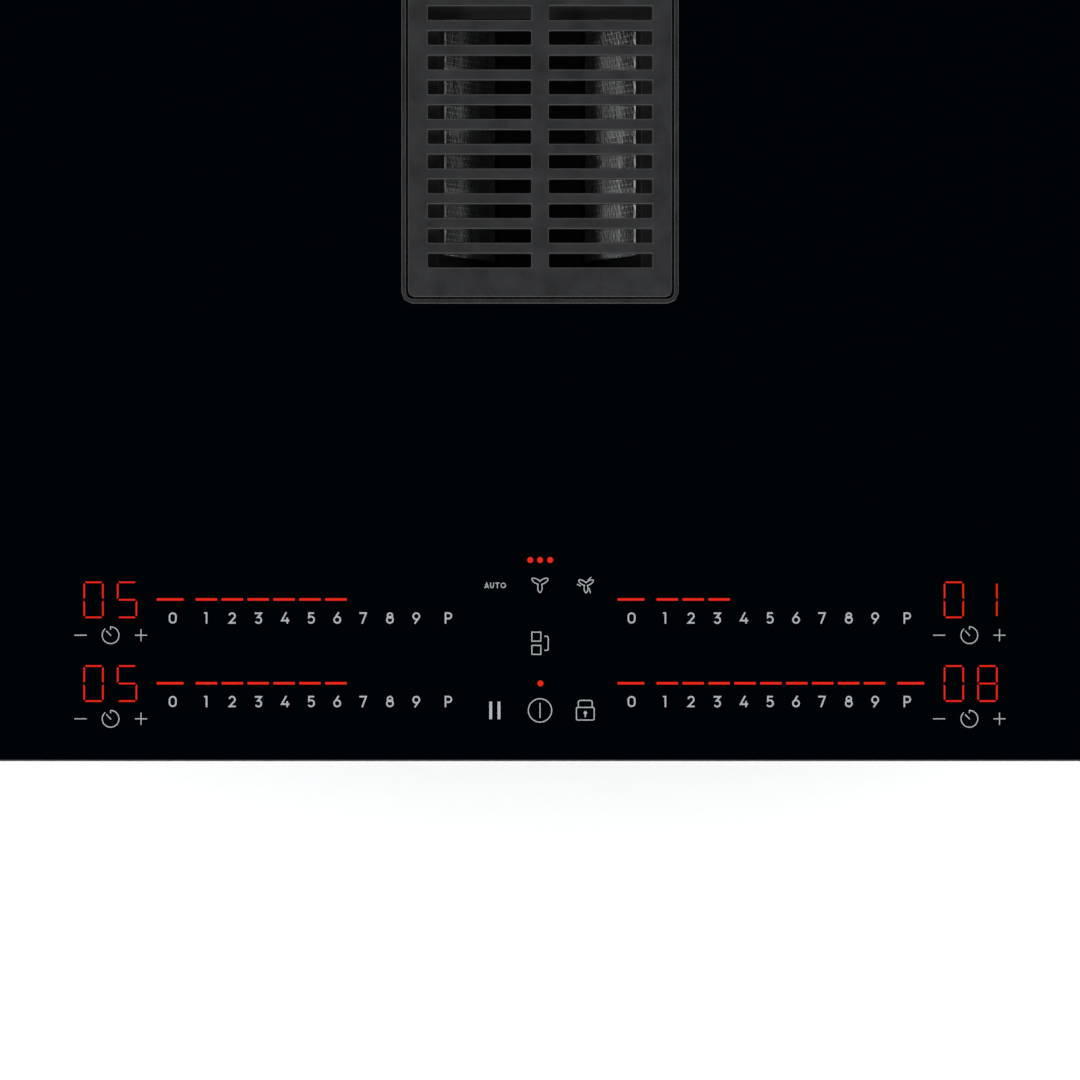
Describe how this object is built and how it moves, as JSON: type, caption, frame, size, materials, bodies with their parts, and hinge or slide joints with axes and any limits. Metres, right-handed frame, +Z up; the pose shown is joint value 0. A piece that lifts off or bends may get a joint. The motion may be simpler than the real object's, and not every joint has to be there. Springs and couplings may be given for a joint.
{
  "type": "downdraft induction cooktop",
  "caption": "Built-in black glass induction cooktop with a touch strip at the front, a slotted downdraft vent in the middle, and the air box with its blower below.",
  "frame": {"origin": "centre of the footprint, at the height of the air box's underside, which is the lowest face", "axes": "+X to the cook's right along the long side, +Y to the rear, away from the cook, +Z up"},
  "size_m": [0.83, 0.52, 0.2023],
  "materials": {
    "black_glass": "polished black glass-ceramic",
    "foam": "matt sealing foam",
    "zinc_sheet": "zinc-coated sheet",
    "vent_enamel": "matt black enamel",
    "grille_iron": "matt black enamelled casting",
    "black_plastic": "moulded",
    "grey_plastic": "moulded",
    "seal_rubber": "matt",
    "stainless": "brushed",
    "aluminium": "mill finish",
    "litz_copper": "lacquered copper strands",
    "fibre_mat": "pressed ceramic fibre",
    "circuit_board": "solder resist",
    "white_plastic": "moulded"
  },
  "bodies": {
    "cooktop": {"glass_top": "black_glass", "worktop_gasket": "foam", "support_frame": "zinc_sheet", "bottom_pan": "zinc_sheet", "vent_frame": "vent_enamel", "inlet_shaft": "black_plastic", "shaft_seal": "seal_rubber", "air_box_tub": "black_plastic", "air_box_cover": "black_plastic", "volute_tray": "grey_plastic", "volute_cover": "grey_plastic", "motor_stator": "zinc_sheet", "motor_plate": "zinc_sheet", "lower_bearing": "stainless", "upper_bearing": "stainless", "motor_damper_1": "seal_rubber", "motor_damper_2": "seal_rubber", "motor_damper_3": "seal_rubber", "outlet_collar": "black_plastic", "panel_tray": "black_plastic", "touch_board": "circuit_board", "terminal_box": "black_plastic", "terminal_block": "white_plastic", "insulation_mat_left": "fibre_mat", "coil_support_left": "aluminium", "power_board_left": "circuit_board", "heatsink_left": "aluminium", "cooling_fan_housing_left": "black_plastic", "coil_winding_left_front": "litz_copper", "coil_former_left_front": "white_plastic", "temperature_sensor_left_front": "stainless", "spring_clip_left_front": "stainless", "coil_winding_left_rear": "litz_copper", "coil_former_left_rear": "white_plastic", "temperature_sensor_left_rear": "stainless", "spring_clip_left_rear": "stainless", "insulation_mat_right": "fibre_mat", "coil_support_right": "aluminium", "power_board_right": "circuit_board", "heatsink_right": "aluminium", "cooling_fan_housing_right": "black_plastic", "coil_winding_right_front": "litz_copper", "coil_former_right_front": "white_plastic", "temperature_sensor_right_front": "stainless", "spring_clip_right_front": "stainless", "coil_winding_right_rear": "litz_copper", "coil_former_right_rear": "white_plastic", "temperature_sensor_right_rear": "stainless", "spring_clip_right_rear": "stainless"},
    "drip_tray": {"drip_tray": "grey_plastic"},
    "grease_filter": {"filter_cassette": "black_plastic", "filter_mesh_left": "stainless", "filter_mesh_right": "stainless"},
    "grille": {"vent_grille": "grille_iron"},
    "impeller": {"impeller": "black_plastic", "motor_shaft": "stainless"},
    "cooling_fan_left": {"cooling_fan_rotor_left": "grey_plastic"},
    "cooling_fan_right": {"cooling_fan_rotor_right": "grey_plastic"},
    "flap": {"non_return_flap": "grey_plastic"},
    "terminal_cover": {"terminal_cover": "black_plastic"}
  },
  "joints": [
    {"name": "drip_tray_lift", "type": "slide", "parent": "cooktop", "child": "drip_tray", "axis": [0, 0, 1], "range_m": [0, 0.2]},
    {"name": "filter_lift", "type": "slide", "parent": "drip_tray", "child": "grease_filter", "axis": [0, 0, 1], "range_m": [0, 0.12]},
    {"name": "grille_lift", "type": "slide", "parent": "grease_filter", "child": "grille", "axis": [0, 0, 1], "range_m": [0, 0.05]},
    {"name": "impeller_spin", "type": "hinge", "parent": "cooktop", "child": "impeller", "pos_m": [0.1908, -0.0262, 0.05], "axis": [0, 0, 1], "continuous": true},
    {"name": "cooling_fan_left_spin", "type": "hinge", "parent": "cooktop", "child": "cooling_fan_left", "pos_m": [-0.262, -0.211, 0.153], "axis": [0, 0, 1], "continuous": true},
    {"name": "cooling_fan_right_spin", "type": "hinge", "parent": "cooktop", "child": "cooling_fan_right", "pos_m": [0.262, -0.211, 0.153], "axis": [0, 0, 1], "continuous": true},
    {"name": "flap_swing", "type": "hinge", "parent": "cooktop", "child": "flap", "pos_m": [0.2358, 0.2273, 0.0905], "axis": [1, 0, 0], "range_deg": [0, 80]},
    {"name": "terminal_cover_swing", "type": "hinge", "parent": "cooktop", "child": "terminal_cover", "pos_m": [-0.275, 0.155, 0.1102], "axis": [-1, 0, 0], "range_deg": [0, 100]}
  ]
}
